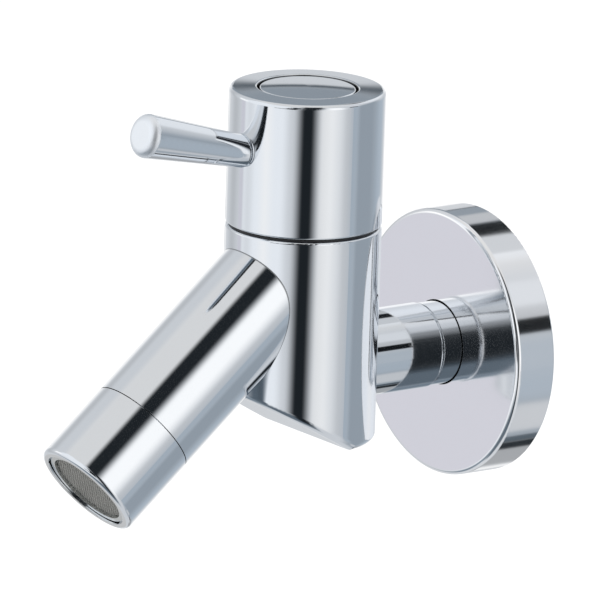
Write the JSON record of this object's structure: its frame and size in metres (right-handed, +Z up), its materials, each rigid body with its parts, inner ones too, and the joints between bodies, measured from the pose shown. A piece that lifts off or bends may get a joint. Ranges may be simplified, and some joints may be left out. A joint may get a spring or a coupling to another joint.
{
  "type": "wall-mounted tap",
  "caption": "Wall-mounted cold water tap: upright round body, straight spout sloping down to an aerator, side lever handle and round wall flange.",
  "frame": {"origin": "on the inlet's axis in the plane of the wall's face, where the flange's back edge lies", "axes": "+Y goes into the wall along the inlet's axis, +Z is up, +X is to the right as seen by someone facing the wall"},
  "size_m": [0.0668, 0.1403, 0.1053],
  "materials": {
    "body_chrome": "polished",
    "spout_chrome": "polished",
    "housing_chrome": "polished",
    "flange_chrome": "polished",
    "handle_chrome": "polished",
    "cap_chrome": "polished",
    "lever_chrome": "polished",
    "mesh_steel": "woven",
    "aerator_plastic": "matte",
    "dark_plastic": "matte",
    "brass": "machined",
    "disc_ceramic": "lapped",
    "black_rubber": "matte",
    "plain_steel": "plain"
  },
  "bodies": {
    "tap": {"tap_body": "body_chrome", "spout_tube": "spout_chrome", "aerator_housing": "housing_chrome", "aerator_washer": "black_rubber", "aerator_shell": "aerator_plastic", "aerator_core": "aerator_plastic", "aerator_strainer": "aerator_plastic", "aerator_mesh": "mesh_steel", "wall_flange": "flange_chrome", "flange_ring": "black_rubber", "headwork_body": "brass", "headwork_ring": "black_rubber", "seat_washer": "black_rubber", "fixed_disc": "disc_ceramic", "glide_ring": "dark_plastic"},
    "handle": {"handle_shell": "handle_chrome", "lever_rod": "lever_chrome", "lever_stud": "plain_steel", "handle_cap": "cap_chrome", "cap_ring": "black_rubber", "handle_screw": "plain_steel", "spline_bush": "dark_plastic", "spindle": "brass", "spindle_rings": "black_rubber", "spindle_clip": "plain_steel", "thrust_washer": "dark_plastic", "turning_disc": "disc_ceramic"}
  },
  "joints": [
    {"name": "handle_turn", "type": "hinge", "parent": "tap", "child": "handle", "pos_m": [0, -0.054, 0], "axis": [0, 0, 1], "range_deg": [0, 90]}
  ]
}
